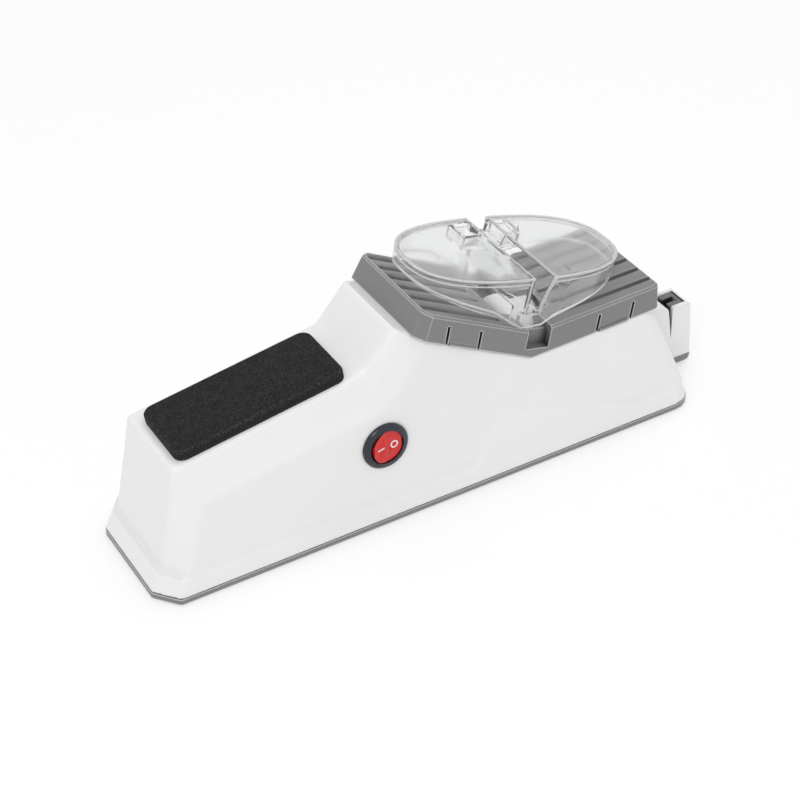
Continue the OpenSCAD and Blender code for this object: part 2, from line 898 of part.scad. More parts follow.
// The arbor carries the wheel between its flange and the nut
module wheel_arbor() {
    color(steel) head() difference() {
        union() {
            rod(wheel_bore, wheel_l - arbor_flange_t - arbor_nose, wheel_r, axis_z);
            rod(arbor_flange_d, wheel_l - arbor_flange_t, wheel_l, axis_z);
            rod(thread_d, wheel_r - over, wheel_r + washer_t + nut_t + over, axis_z);
        }
        rod(shaft_d, wheel_l - arbor_flange_t - arbor_nose - over, wheel_l + arbor_grip, axis_z);
    }
}

module wheel_washer() {
    color(steel) head() tube(washer_d, thread_d, wheel_r, wheel_r + washer_t, axis_z);
}

module wheel_nut() {
    color(steel) head() difference() {
        translate([wheel_r + washer_t, 0, axis_z]) rotate([0, 90, 0])
            cylinder(d = nut_af / cos(30), h = nut_t, $fn = 6);
        rod(thread_d, wheel_r, wheel_r + washer_t + nut_t + over, axis_z);
    }
}

module motor_shaft() {
    color(steel) head() rod(shaft_d, motor_x0 - end_cap_t - end_boss_l, wheel_l + arbor_grip, axis_z);
}

module motor_armature() {
    color(dark) head() difference() {
        rod(armature_d, armature_x - armature_l / 2, armature_x + armature_l / 2, axis_z);
        rod(shaft_d, motor_x0, motor_x1, axis_z);
        for (a = [0:armature_slots - 1]) translate([0, 0, axis_z]) rotate([a * 360 / armature_slots, 0, 0])
            translate([armature_x - armature_l, -slot_gap / 2, armature_d / 2 - slot_deep])
                cube([armature_l * 2, slot_gap, slot_deep * 2]);
    }
}

module commutator() {
    x1 = armature_x - armature_l / 2;
    color(brass) head() tube(commutator_d, shaft_d, x1 - commutator_l, x1, axis_z);
}

module motor_can() {
    color(steel) head() difference() {
        union() {
            rod(motor_d, motor_x0, motor_x1, axis_z);
            rod(boss_d, motor_x1 - over, motor_x1 + boss_l, axis_z);
        }
        rod(motor_d - can_t * 2, motor_x0 - over, motor_x1 - can_t, axis_z);
        rod(bush_d, motor_x1 - can_t - over, motor_x1 + boss_l + over, axis_z);
        for (side = [-1, 1]) translate([0, side * screw_pitch / 2, 0])
            rod(m2_d, motor_x1 - can_t - over, motor_x1 + over, axis_z);
    }
}

// Two curved magnets inside the can
module motor_magnets() {
    r1 = motor_d / 2 - can_t - shaft_play;
    color(dark) head() translate([armature_x - magnet_l / 2, 0, axis_z]) rotate([0, 90, 0])
        for (a = [0, 180]) rotate([0, 0, a - magnet_arc / 2])
            rotate_extrude(angle = magnet_arc, $fn = 96)
                translate([r1 - magnet_t, 0]) square([magnet_t, magnet_l]);
}

module motor_end_cap() {
    color(dark) head() difference() {
        union() {
            rod(motor_d, motor_x0 - end_cap_t, motor_x0, axis_z);
            rod(motor_d - can_t * 2 - shaft_play * 2, motor_x0 - over, motor_x0 + spigot_l, axis_z);
            rod(end_boss_d, motor_x0 - end_cap_t - end_boss_l, motor_x0, axis_z);
        }
        rod(motor_d - can_t * 4, motor_x0 - end_cap_t / 2, motor_x0 + spigot_l + over, axis_z);
        rod(bush_d, motor_x0 - end_cap_t - end_boss_l - over, motor_x0, axis_z);
        for (side = [-1, 1])
            translate([motor_x0 - end_cap_t - over, side * terminal_y, axis_z])
                translate([0, -terminal_w / 2, -terminal_t / 2]) cube([end_cap_t, terminal_w, terminal_t]);
    }
}

module motor_bushes() {
    color(brass) head() {
        bore = shaft_d + shaft_play * 2;
        tube(bush_d, bore, motor_x1 + boss_l - bush_l, motor_x1 + boss_l, axis_z);
        tube(bush_d, bore, motor_x0 - end_cap_t - end_boss_l + over, motor_x0 - end_cap_t / 2, axis_z);
    }
}

// Terminals at the motor's rear, each with a brush arm beside the commutator
module motor_terminals() {
    arm_x0 = motor_x0 - end_cap_t / 2;
    arm_x1 = armature_x - armature_l / 2 - commutator_l * 0.3;
    y0 = commutator_d / 2 + brush_gap;
    y1 = terminal_y - terminal_w / 2;
    z = axis_z - terminal_t / 2;
    color(brass) head() for (side = [0, 1]) mirror([0, side, 0]) {
        translate([motor_x0 - end_cap_t - terminal_out, y1, z])
            cube([terminal_out + end_cap_t, terminal_w, terminal_t]);
        translate([arm_x0, y1, z]) cube([arm_x1 - arm_x0, terminal_t, terminal_t]);
        translate([arm_x1 - brush_w, y0, axis_z - brush_w / 2])
            cube([brush_w, y1 + terminal_t - y0, brush_w]);
    }
}

// A slab in the head's frame that stands on the base plate
module leg(x0, x1, half, z_top) {
    intersection() {
        head() translate([x0, -half, z_top - body_w * 2]) cube([x1 - x0, half * 2, body_w * 2]);
        place() translate([0, -half_w, base_top]) cube([body_l, body_w, body_w * 2]);
    }
}

// Two saddles on the base plate, joined by a web, hold the motor at the head's lean
module motor_cradle() {
    color(white) difference() {
        union() {
            for (x = saddle_x) leg(x - cradle_t / 2, x + cradle_t / 2, cradle_half, axis_z);
            leg(saddle_x[0], saddle_x[1], cradle_t / 2, axis_z - motor_d / 2 + over);
        }
        head() {
            rod(motor_d + shaft_play * 2, motor_x0 - end_cap_t - over, motor_x1 + over, axis_z);
            for (x = saddle_x, side = [-1, 1]) translate([x, side * strap_hole_y, axis_z - strap_screw_l])
                cylinder(d = m2_d, h = strap_screw_l + over);
        }
    }
}

// Straps over the motor
module motor_strap() {
    color(steel) head() for (x = saddle_x) difference() {
        union() {
            tube(motor_d + strap_t * 2, motor_d, x - strap_w / 2, x + strap_w / 2, axis_z);
            for (side = [-1, 1]) translate([x - strap_w / 2, side > 0 ? motor_d / 2 : -cradle_half, axis_z])
                cube([strap_w, cradle_half - motor_d / 2, ear_t]);
        }
        rod(motor_d + shaft_play * 2, x - strap_w, x + strap_w, axis_z);
        translate([x - strap_w, -body_w, axis_z - body_w]) cube([strap_w * 2, body_w * 2, body_w]);
        for (side = [-1, 1]) translate([x, side * strap_hole_y, axis_z - over])
            cylinder(d = m2_d + slip, h = ear_t + over * 2);
    }
}

// A pan-head screw pointing down, its head's seat at z = 0
module screw(d, l, head_d, head_t) {
    translate([0, 0, -l]) cylinder(d = d, h = l + head_t / 2);
    difference() {
        cylinder(d = head_d, h = head_t);
        translate([0, 0, head_t * 0.6]) linear_extrude(head_t) {
            square([head_d * 0.6, head_d * 0.14], center = true);
            square([head_d * 0.14, head_d * 0.6], center = true);
        }
    }
}

module strap_screws() {
    color(steel) head() for (x = saddle_x, side = [-1, 1])
        translate([x, side * strap_hole_y, axis_z + ear_t])
            screw(m2_d, strap_screw_l * 0.9 + ear_t, m2_head_d, m2_head_t);
}

// Dust trough under the wheel, on two legs of its own
module dust_chamber() {
    r0 = wheel_d / 2 + window_gap;
    r1 = r0 + chamber_t;
    x0 = wheel_l - arbor_flange_t - window_gap;
    x1 = wheel_r + washer_t + nut_t + window_gap;
    color(white) difference() {
        union() {
            head() difference() {
                rod(r1 * 2, x0 - chamber_t, x1 + chamber_t, axis_z);
                translate([x0 - chamber_t - over, -body_w, axis_z])
                    cube([x1 - x0 + (chamber_t + over) * 2, body_w * 2, body_w]);
            }
            for (x = [x0 - chamber_t, x1 - chamber_t])
                leg(x, x + chamber_t * 2, wheel_d / 2 - over, axis_z - wheel_d / 2);
        }
        head() {
            rod(r0 * 2, x0, x1, axis_z);
            rod(arbor_flange_d, x0 - chamber_t - over, x0 + over, axis_z);
            translate([x0 - chamber_t - over, -arbor_flange_d / 2, axis_z])
                cube([(chamber_t + over) * 2, arbor_flange_d, body_w]);
        }
    }
}

// Body of the rocker switch: bezel outside the wall, barrel inside it
module switch_body() {
    r_in = rocker_half + rocker_play;
    color(dark) switch_frame() difference() {
        union() {
            cylinder(d = bezel_d, h = bezel_t * 0.5);
            translate([0, 0, bezel_t * 0.5])
                cylinder(d1 = bezel_d, d2 = bezel_d - bezel_t, h = bezel_t * 0.5);
            translate([0, 0, -barrel_l]) cylinder(d = switch_hole_d - slip, h = barrel_l);
            // Snap wings behind the wall
            for (side = [-1, 1]) translate([side * switch_hole_d / 2, 0, -wall_t * 2.2])
                cube([snap_proud * 2, snap_w, wall_t * 1.6], center = true);
        }
        translate([0, 0, pocket_z]) cylinder(r = r_in, h = -pocket_z + bezel_t + over);
        // Sockets of the rocker's two pins
        translate([0, 0, pivot_z]) rotate([90, 0, 0])
            cylinder(d = rocker_pin_d + shaft_play * 2, h = (r_in + rocker_pin_l) * 2, center = true);
    }
}

// The rocker, shown with its right half pressed
module switch_rocker() {
    side_r = rocker_half + rocker_play * 0.4;
    top_z = bezel_t * 0.7 - pivot_z;
    side_x = rocker_half * 1.5;
    side_z = top_z + side_x * tan(rocker_throw / 2);
    pin_reach = rocker_half + rocker_play + rocker_pin_l - pin_end_gap;
    color(red) switch_frame() translate([0, 0, pivot_z]) rotate([0, rocker_throw / 2, 0]) difference() {
        union() {
            intersection() {
                translate([0, 0, -rocker_depth]) cylinder(r = rocker_half, h = rocker_depth * 3);
                rotate([90, 0, 0]) cylinder(r = side_r, h = rocker_half * 3, center = true);
                across(rocker_half * 3) polygon([
                    [-side_x, -rocker_depth * 0.6], [side_x, -rocker_depth * 0.6],
                    [side_x, side_z], [0, top_z], [-side_x, side_z]
                ]);
            }
            rotate([90, 0, 0]) cylinder(d = rocker_pin_d, h = pin_reach * 2, center = true);
        }
        // The two marks, on and off
        for (side = [-1, 1]) translate([side * rocker_half * mark_share, 0, top_z])
            rotate([0, -side * rocker_throw / 2, 0])
            translate([0, 0, rocker_half * mark_share * tan(rocker_throw / 2) - mark_deep])
                linear_extrude(rocker_rise) {
                    if (side < 0) square([mark_l, mark_w], center = true);
                    else difference() {
                        circle(d = mark_l);
                        circle(d = mark_l - mark_w * 2);
                    }
                }
    }
}

module switch_terminals() {
    color(brass) switch_frame() for (x = [-1, 1])
        translate([x * tab_blade_pitch / 2 - tab_blade_t / 2, -tab_blade_w / 2, -barrel_l - tab_blade_l])
            cube([tab_blade_t, tab_blade_w, tab_blade_l]);
}

// Places the power inlet on the back wall, z out of the wall
module jack_frame() {
    place() translate([jack_x, wall_y(jack_z), jack_z])
        rotate([atan(wall_draft_share) - 90, 0, 0]) children();
}

module dc_jack() {
    color(dark) jack_frame() difference() {
        union() {
            translate([0, 0, -jack_l]) cylinder(d = jack_d, h = jack_l - wall_t);
            translate([0, 0, -wall_t - over]) cylinder(d = jack_nose_d, h = wall_t + over);
            cylinder(d = jack_d, h = jack_flange_t);
        }
        translate([0, 0, -jack_l + jack_flange_t]) cylinder(d = jack_bore_d, h = jack_l * 2);
    }
    pin_l = jack_l - jack_pin_d * 1.5;
    color(steel) jack_frame() translate([0, 0, -jack_l + over]) {
        cylinder(d = jack_pin_d, h = pin_l);
        translate([0, 0, pin_l]) cylinder(d1 = jack_pin_d, d2 = jack_pin_d / 2, h = jack_pin_d / 2);
    }
}

module jack_terminals() {
    color(brass) jack_frame() for (x = [-1, 1])
        translate([x * jack_d / 4 - tab_blade_t / 2, -tab_blade_w / 4, -jack_l - tab_blade_l * 0.7])
            cube([tab_blade_t, tab_blade_w / 2, tab_blade_l * 0.7]);
}

// One insulated wire through a row of points
module wire(points) {
    for (i = [0:len(points) - 2]) {
        v = points[i + 1] - points[i];
        translate(points[i]) rotate([0, acos(v.z / norm(v)), atan2(v.y, v.x)])
            cylinder(d = wire_d, h = norm(v), $fn = 8);
    }
    for (p = points) translate(p) sphere(d = wire_d, $fn = 8);
}

// Places in the housing's coordinates, for the wires
function in_head(p) = [
    valley_x + p.x * cos(head_tilt) + p.z * sin(head_tilt), p.y,
    valley_z - p.x * sin(head_tilt) + p.z * cos(head_tilt)
];

function in_switch(p) = let (a = atan(wall_draft_share)) [
    switch_x + p.x, -wall_y(switch_z) - p.z * cos(a) + p.y * sin(a), switch_z + p.y * cos(a) + p.z * sin(a)
];

function in_jack(p) = let (a = atan(wall_draft_share)) [
    jack_x + p.x, wall_y(jack_z) + p.z * cos(a), jack_z + p.z * sin(a)
];

// Three wires: inlet to switch, switch to motor, and inlet to motor
module wire_harness() {
    jack_end = -jack_l - tab_blade_l * 0.7 - wire_d / 2;
    switch_end = -barrel_l - tab_blade_l - wire_d / 2;
    motor_end = motor_x0 - end_cap_t - terminal_out - wire_d / 2;
    pitch = tab_blade_pitch / 2;
    color(wire_red) place() {
        wire([
            in_jack([-jack_d / 4, 0, jack_end]), in_jack([-jack_d / 4, 0, jack_end - wire_d * 3]),
            [switch_x - pitch, wire_d * 2, wire_z],
            in_switch([-pitch, 0, switch_end - wire_d]), in_switch([-pitch, 0, switch_end])
        ]);
        wire([
            in_switch([pitch, 0, switch_end]), in_switch([pitch, 0, switch_end - wire_d]),
            in_head([motor_end - wire_d * 2, -terminal_y, axis_z]), in_head([motor_end, -terminal_y, axis_z])
        ]);
        wire([
            in_jack([jack_d / 4, 0, jack_end]), in_jack([jack_d / 4, 0, jack_end - wire_d]),
            in_head([motor_end - wire_d * 2, terminal_y, axis_z - wire_z * 0.6]),
            in_head([motor_end - wire_d * 2, terminal_y, axis_z]), in_head([motor_end, terminal_y, axis_z])
        ]);
    }
}

module base_screws() {
    color(steel) place() for (spot = screw_spots, side = [-1, 1])
        translate([spot.x, side * spot.y, base_z + screw_head_t]) mirror([0, 0, 1])
            screw(screw_d, screw_l, screw_head_d, screw_head_t);
}

// Outline of the hand sharpener from the front: right wall leans out, lower right corner is rounded
function hand_outline(t, z0, z1) = let (x_top = hand_x1 - hand_lean) [
    [end_at(z1), z1 - t], [end_at(z0), z0],
    [hand_x1 - t - hand_lean * (z0 - hand_bottom) / (hand_top - hand_bottom), z0],
    [x_top - t, z1 - t - hand_rim * 0.3], [x_top - t - hand_rim * 0.3, z1 - t]
];

// The room that the housing's skirt takes up beside the hand sharpener
module skirt_room() {
    skirt_block(0, 0, base_top);
    head_block(0);
    translate([0, 0, base_z]) linear_extrude(base_t) polygon(base_outline(0, 0));
}

module hand_groove(w, apex) {
    across(body_w) polygon([
        [groove_x - w * 0.75, hand_top + over], [groove_x - w * 0.45, hand_top - w * 0.5],
        [groove_x + groove_lean, apex], [groove_x + w * 0.45, hand_top - w * 0.5],
        [groove_x + w * 0.75, hand_top + over]
    ]);
}

module hand_housing() {
    half = groove_w / 2 + hand_gap;
    z1 = hand_top + hand_shoulder;
    color(white) place() difference() {
        union() {
            difference() {
                across(hand_w) polygon(hand_outline(0, hand_bottom + hand_base_t, hand_top));
                across(hand_w - hand_wall * 2) polygon(
                    hand_outline(hand_wall, hand_bottom + hand_base_t - over, hand_top + hand_wall + over)
                );
            }
            // Shoulder against the end wall
            across(hand_w) polygon([
                [end_at(z1) - wall_t, hand_top], [groove_x - half * 0.6, hand_top],
                [end_at(z1) + slip, z1], [end_at(z1) - wall_t, z1]
            ]);
        }
        skirt_room();
        hand_groove(half, groove_apex_z);
    }
}

module hand_insert() {
    color(dark) place() difference() {
        t = hand_wall + slip;
        across(hand_w - t * 2)
            polygon(hand_outline(t, hand_bottom + hand_base_t, hand_top - hand_recess + t));
        skirt_room();
        hand_groove(groove_w / 2, groove_apex_z);
        translate([groove_x + groove_lean - blade_pocket_w / 2, -blade_t - slip, blade_z - blade_drop])
            cube([blade_pocket_w, (blade_t + slip) * 2, body_w]);
        hand_screw_axes(hand_pilot_d, 0);
    }
}

// Two ceramic plates that cross under the groove
module hand_blades() {
    apex_x = groove_x + groove_lean;
    color(ceramic) place() for (side = [-1, 1]) intersection() {
        translate([apex_x - blade_pocket_w / 2 + slip, side > 0 ? 0 : -blade_t, blade_z - blade_drop])
            cube([blade_pocket_w - slip * 2, blade_t, blade_l]);
        translate([apex_x, side * blade_t / 2, blade_z]) rotate([0, side * blade_angle, 0])
            cube([blade_w, blade_t, blade_l * 2], center = true);
    }
}

// The floor of the hand sharpener
module hand_base() {
    z1 = hand_bottom + hand_base_t;
    rx = hand_corner_r * 0.6;
    rz = hand_base_t * 0.8;
    color(grey) place() difference() {
        across(hand_w) polygon([
            [body_l - end_r, hand_bottom], [hand_x1 - rx, hand_bottom],
            for (a = [-60:15:0]) [hand_x1 - rx + rx * cos(a), hand_bottom + rz + rz * sin(a)],
            [hand_x1 - hand_lean * hand_base_t / (hand_top - hand_bottom), z1], [body_l - end_r, z1]
        ]);
        skirt_room();
    }
}

// Axes of the two screws that hold the hand sharpener, from the inside of the end wall
module hand_screw_axes(d, x_off) {
    for (side = [-1, 1]) translate([hand_seat_x + x_off, side * hand_screw_y, hand_screw_z])
        rotate([0, 90, 0]) cylinder(d = d, h = hand_screw_l);
}

module hand_screws() {
    color(steel) place() for (side = [-1, 1]) translate([hand_seat_x, side * hand_screw_y, hand_screw_z])
        rotate([0, -90, 0]) screw(hand_screw_d, hand_screw_l * 0.95, m2_head_d, m2_head_t);
}

upper_housing();
base_plate();
rubber_feet();
grip_pad();
guide_cap();
dust_cover();
grinding_wheel();
wheel_arbor();
wheel_washer();
wheel_nut();
motor_shaft();
motor_armature();
commutator();
motor_can();
motor_magnets();
motor_end_cap();
motor_bushes();
motor_terminals();
motor_cradle();
motor_strap();
strap_screws();
dust_chamber();
switch_body();
switch_rocker();
switch_terminals();
dc_jack();
jack_terminals();
wire_harness();
base_screws();
hand_housing();
hand_insert();
hand_base();
hand_blades();
hand_screws();
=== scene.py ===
import json
import math

import bmesh
import bpy
from mathutils import Matrix, Vector


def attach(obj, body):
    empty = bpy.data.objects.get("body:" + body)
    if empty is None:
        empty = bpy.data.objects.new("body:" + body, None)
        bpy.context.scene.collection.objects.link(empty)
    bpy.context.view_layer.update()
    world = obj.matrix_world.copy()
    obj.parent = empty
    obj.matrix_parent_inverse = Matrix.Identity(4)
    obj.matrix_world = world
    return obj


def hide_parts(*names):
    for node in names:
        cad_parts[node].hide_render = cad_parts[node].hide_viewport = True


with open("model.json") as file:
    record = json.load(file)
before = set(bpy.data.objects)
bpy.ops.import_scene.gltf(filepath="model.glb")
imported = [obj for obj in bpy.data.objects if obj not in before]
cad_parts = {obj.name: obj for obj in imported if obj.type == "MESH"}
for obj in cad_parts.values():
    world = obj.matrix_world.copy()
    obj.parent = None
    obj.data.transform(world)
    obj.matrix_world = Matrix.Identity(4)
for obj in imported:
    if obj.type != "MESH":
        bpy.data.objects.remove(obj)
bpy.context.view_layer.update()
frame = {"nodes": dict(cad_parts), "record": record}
nodes = frame["nodes"]
MM = 0.001
UP = Vector((0, 0, 1))

# Driving sizes, as in the CAD source, in millimetres and degrees
BODY_L = 236.0
REACH = 14.6
VALLEY_X = 159.8
VALLEY_Z = 60.2
HEAD_LEAN = 13.4
VEE_SLOPE = 14.6
DRAFT = 0.068
WALL_HALF = 27.2
WALL_Z = 10
SWITCH_X = 93.5
SWITCH_Z = 35.4

# Places worked out from them: OX brings the CAD source's x to the frame's
OX = -(BODY_L + REACH) / 2
HEAD = Matrix.Translation((VALLEY_X + OX, 0, VALLEY_Z)) @ Matrix.Rotation(math.radians(HEAD_LEAN), 4, "Y")
SWITCH_Y = DRAFT * (SWITCH_Z - WALL_Z) - WALL_HALF
SWITCH = (Matrix.Translation((SWITCH_X + OX, SWITCH_Y, SWITCH_Z))
          @ Matrix.Rotation(math.pi / 2 - math.atan(DRAFT), 4, "X"))

# The clear cover, in the head's frame
COVER_X = -3.2
COVER_HALF_L = 46.0
COVER_HALF_W = 23.6
COVER_POWER = 2.6
COVER_H = 23.3
RIM_GAP = 4.2
RIM_SHARE = math.tan(math.radians(VEE_SLOPE)) + 0.02
NOSE_Z = 2.5
NOSE_X0 = -8.3
NOSE_X1 = 0.8
NOSE_SLOPE = 0.6
NOSE_REACH = 12
SLOT_X0 = -6.7
SLOT_X1 = 2.4
SLOT_LOW_X1 = -1.2
SLOT_NECK_Z = 12.0
SLOT_LOW_Z = 8.0
COVER_T = 1.6
LEG_X = 11.0
TOUCH = 0.02
TURN_STEP = 3

# Beads of the cover, rounded edges whitened to paint highlights on them: radius, inset from the outline, and
# depth under the top
RIM_BEAD_R = 0.45
RIM_BEAD_IN = 0.5
TOP_BEAD_R = 0.4
TOP_BEAD_IN = 0.05
TOP_BEAD_DOWN = 0.45
STEP_BEAD_R = 0.3
STEP_BEAD_IN = 0.4
STEP_BEAD_DOWN = 2.6
SLOT_BEAD_R = 0.45
WIDE_BEAD_R = 0.5
SLOT_BEAD_IN = 0.6
SLOT_BEAD_X = 0.8
SLOT_BEAD_DOWN = 0.5
BEAD_TO_SLOT = 0.5
BEAD_ROUNDING = 3

# The foam pad: how far it swells past its solid, along the handle and to the front
PAD_T = 2.9
PAD_MORE = 1.3
PAD_ALONG = 0.7
PAD_FRONT = 1.8

# The rocker and its marks
HALF_THROW = math.radians(7)
ROCKER_HALF = 6.5
BEZEL_T = 1.8
CREST_SHARE = 0.7
PIVOT_Z = -0.6
MARK_SHARE = 0.46
MARK_L = 3.2
MARK_W = 0.6
MARK_DEEP = 0.2
PAINT_GAP = 0.02

# Mesh work: merging distance, the bend that still counts as flat, and the housing's rounding
WELD = 0.002 * MM
FLAT = math.radians(0.5)
HOUSING_GRID = 0.8 * MM
HOUSING_EASE = 0.5
HOUSING_ROUNDS = 3

# Angles in degrees past which an edge stays crisp
SHARP = 35
CAP_SHARP = 25
COVER_SHARP = 20
PAD_SHARP = 25

# Finishes: where the noise starts and ends, and the tones of a moulding
NOISE_LOW = 0.3
NOISE_HIGH = 0.7
TONE_LOW = 0.985
TONE_HIGH = 1.01

# Painted shade and painted highlight: openness of a groove at its darkest painted shade, the bend of an edge
# that gets a painted highlight, and the openness of an outer one
GROOVE_OPEN = 0.4
BEND_FROM = 0.995
BEND_TO = 0.9
OUTER_FROM = 0.8
OUTER_TO = 0.95

# Clear plastic: its milky part, its shadow, and how far up a face looks to be frosted
MILK_WHITE = (0.95, 0.95, 0.95, 1)
MILK_BODY_SHARE = 0.4
SHADOW_TINT = (0.9, 0.9, 0.9, 1)
FROST_FROM = 0.9
FROST_TO = 0.99

# Camera, fitted to the photograph: its place in millimetres and its three directions
CAMERA_AT = (-183.277 + OX, -500.317, 482.826)
CAMERA_RIGHT = Vector((0.85808, -0.51352, -0.00197))
CAMERA_DOWN = Vector((-0.31627, -0.52545, -0.78986))
CAMERA_AHEAD = Vector((0.40458, 0.67838, -0.61328))
FOCAL_PIXELS = 1951.24
IMAGE_PIXELS = 800
SENSOR = 36
NEAREST = 0.01
FARTHEST = 20

# Light: each lamp's name, its place and size in metres, and its power in watts
SKY = 0.72
FLOOR_WHITE = 0.97
SHADOW_SHARE = 0.45
FLOOR_HALF = 3
AIM = Vector((0, 0, 0.04))
LAMPS = (("key", (-0.7, -0.8, 1.2), 0.7, 6), ("top", (0.3, 0.2, 1.5), 1.0, 4))


def grey(v):
    return (v, v, v)


def camera():
    data = bpy.data.cameras.new("camera")
    obj = bpy.data.objects.new("camera", data)
    bpy.context.scene.collection.objects.link(obj)
    data.sensor_fit = "HORIZONTAL"
    data.sensor_width = SENSOR
    data.lens = FOCAL_PIXELS * SENSOR / IMAGE_PIXELS
    data.clip_start = NEAREST
    data.clip_end = FARTHEST
    turn = Matrix((CAMERA_RIGHT, -CAMERA_DOWN, -CAMERA_AHEAD)).transposed().to_4x4()
    obj.matrix_world = Matrix.Translation(Vector(CAMERA_AT) * MM) @ turn
    bpy.context.scene.camera = obj


class Mat:
    """A node material under construction, with the few helpers that the finishes share."""

    def __init__(self, name, color, rough, **sockets):
        self.m = bpy.data.materials.new(name)
        self.m.use_nodes = True
        self.t = self.m.node_tree
        self.p = self.t.nodes["Principled BSDF"]
        self.out = self.t.nodes["Material Output"]
        self.p.inputs["Base Color"].default_value = (*color, 1)
        self.p.inputs["Roughness"].default_value = rough
        for k, v in sockets.items():
            self.p.inputs[k.replace("_", " ")].default_value = v
        self.co = self.t.nodes.new("ShaderNodeTexCoord").outputs["Object"]
        self.m.diffuse_color = (*color, 1)
        self.normal = None

    def node(self, kind, inputs=None, **attrs):
        n = self.t.nodes.new("ShaderNode" + kind)
        for k, v in attrs.items():
            setattr(n, k, v)
        for k, v in (inputs or {}).items():
            if isinstance(v, bpy.types.NodeSocket):
                self.t.links.new(v, n.inputs[k])
            else:
                n.inputs[k].default_value = v
        return n

    def noise(self, scale, detail=3, rough=0.55, stretch=None):
        co = self.co
        if stretch:
            co = self.node("Mapping", {"Vector": co, "Scale": stretch}).outputs[0]
        sizes = {"Scale": scale, "Detail": detail, "Roughness": rough}
        return self.node("TexNoise", {"Vector": co, **sizes}).outputs[0]

    def cells(self, scale):
        return self.node("TexVoronoi", {"Vector": self.co, "Scale": scale}).outputs[0]

    def rough_from(self, fac, lo, hi):
        ends = {"From Min": NOISE_LOW, "From Max": NOISE_HIGH, "To Min": lo, "To Max": hi}
        mapped = self.node("MapRange", {"Value": fac, **ends})
        self.t.links.new(mapped.outputs[0], self.p.inputs["Roughness"])

    def color_from(self, fac, first, second, lo=NOISE_LOW, hi=NOISE_HIGH):
        ramp = self.node("ValToRGB", {"Fac": fac})
        for stop, at, color in zip(ramp.color_ramp.elements, (lo, hi), (first, second)):
            stop.position = at
            stop.color = (*color, 1)
        self.t.links.new(ramp.outputs[0], self.p.inputs["Base Color"])

    def soft_edges(self, radius):
        self.normal = self.node("Bevel", {"Radius": radius * MM}, samples=6).outputs[0]

    def bump(self, fac, distance, strength=1.0):
        n = self.node("Bump", {"Height": fac, "Distance": distance, "Strength": strength})
        if self.normal:
            self.t.links.new(self.normal, n.inputs["Normal"])
        self.normal = n.outputs[0]
        self.t.links.new(self.normal, self.p.inputs["Normal"])

    def paint_shade_and_highlight(self, reach, darkest_shade, edge, highlight_gain, alone=True, full=0.92):
        """Paints shade into the colour in grooves and corners, and paints a highlight onto it on the outer
        edges.
        """
        # Painted shade: ambient occlusion darkens the colour in grooves and corners.
        occlusion = self.node("AmbientOcclusion", {"Distance": reach * MM}, samples=8, only_local=alone)
        share = occlusion.outputs["AO"]
        ends = {"From Min": GROOVE_OPEN, "From Max": full, "To Min": darkest_shade}
        depth = self.node("MapRange", {"Value": share, **ends})
        # Painted highlight: the colour is lightened on outer edges, where the bevelled normal turns away from
        # the true one.
        bent = self.node("Bevel", {"Radius": edge * MM}, samples=8).outputs[0]
        flat = self.node("NewGeometry").outputs["Normal"]
        along = self.node("VectorMath", {0: bent, 1: flat}, operation="DOT_PRODUCT").outputs["Value"]
        edge_highlight = self.node("MapRange", {"Value": along, "From Min": BEND_FROM, "From Max": BEND_TO})
        outer = self.node("MapRange", {"Value": share, "From Min": OUTER_FROM, "From Max": OUTER_TO})
        both = self.node("Math", {0: edge_highlight.outputs[0], 1: outer.outputs[0]}, operation="MULTIPLY")
        painted_light_gain = self.node("Math", {0: both.outputs[0], 1: highlight_gain, 2: depth.outputs[0]}, operation="MULTIPLY_ADD")
        color = self.p.inputs["Base Color"]
        plain = color.links[0].from_socket
        painted_light_color = self.node("VectorMath", {0: plain, "Scale": painted_light_gain.outputs[0]}, operation="SCALE")
        self.t.links.new(painted_light_color.outputs[0], color)


def moulded(name, color, rough, grain=900, depth=0.00002, spread=0.06, edge=0.3, **sockets):
    """Moulded plastic: soft edges, a faint texture, a little unevenness in gloss and tone."""
    m = Mat(name, color, rough, **sockets)
    m.soft_edges(edge)
    m.rough_from(m.noise(60, 4), rough - spread, rough + spread)
    low = tuple(c * TONE_LOW for c in color)
    high = tuple(min(1, c * TONE_HIGH) for c in color)
    m.color_from(m.noise(25, 2), low, high)
    m.bump(m.noise(grain, 2), depth)
    return m


def white_gloss():
    m = moulded("white_gloss_plastic", grey(0.82), 0.34, grain=2500, depth=0.00001, spread=0.02)
    # Painted shade in the housing's creases and a faint painted highlight on its outer edges.
    m.paint_shade_and_highlight(5, 0.35, 1.0, 0.06, full=0.985)
    return m


def grey_satin():
    m = moulded("grey_satin_plastic", (0.197, 0.198, 0.2), 0.42, grain=1500, depth=0.00003)
    # Painted shade in the cap's grooves and recesses, and a painted highlight on its outer edges.
    m.paint_shade_and_highlight(8, 0.1, 0.9, 2.0)
    return m


def dark_satin():
    m = moulded("dark_satin_plastic", (0.155, 0.155, 0.16), 0.4)
    # Painted shade in grooves and corners, and a painted highlight on outer edges.
    m.paint_shade_and_highlight(6, 0.12, 0.6, 0.6)
    return m


def red_gloss():
    m = moulded("red_rocker", (0.62, 0.012, 0.012), 0.16, spread=0.03, IOR=1.49)
    m.p.inputs["Subsurface Weight"].default_value = 0.25
    m.p.inputs["Subsurface Radius"].default_value = (0.004, 0.0006, 0.0005)
    # Painted shade where the bezel comes near and in corners, and a painted highlight on the rocker's edges.
    m.paint_shade_and_highlight(4, 0.12, 0.5, 0.3, alone=False)
    return m


